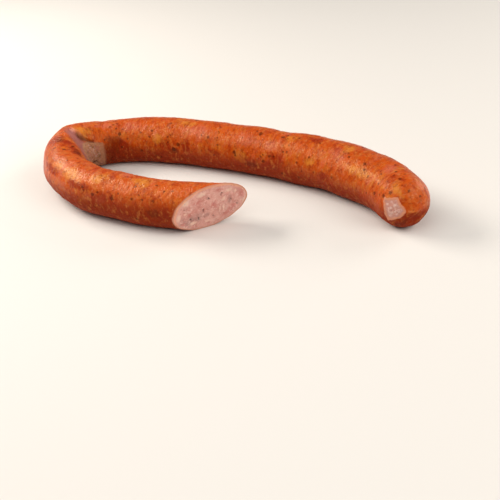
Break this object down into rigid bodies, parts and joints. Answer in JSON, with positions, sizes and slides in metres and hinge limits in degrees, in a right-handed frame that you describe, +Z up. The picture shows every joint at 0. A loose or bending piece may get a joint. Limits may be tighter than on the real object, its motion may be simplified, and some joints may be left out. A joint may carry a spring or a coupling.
{
  "type": "smoked sausage ring",
  "caption": "U-shaped ring of smoked cured sausage lying flat: a long arm with a rounded closed end, a tight bend, and a short arm cut on a slant that shows the meat.",
  "frame": {"origin": "middle of the ring's outline, on the plane it lies on", "axes": "+Z up, +X from the bend towards the two ends, +Y from the cut short arm towards the long arm"},
  "size_m": [0.3101, 0.1345, 0.0385],
  "materials": {
    "smoked_gut": "satin",
    "cured_meat": "matte"
  },
  "bodies": {
    "root": {"casing": "smoked_gut", "filling": "cured_meat"}
  },
  "joints": []
}
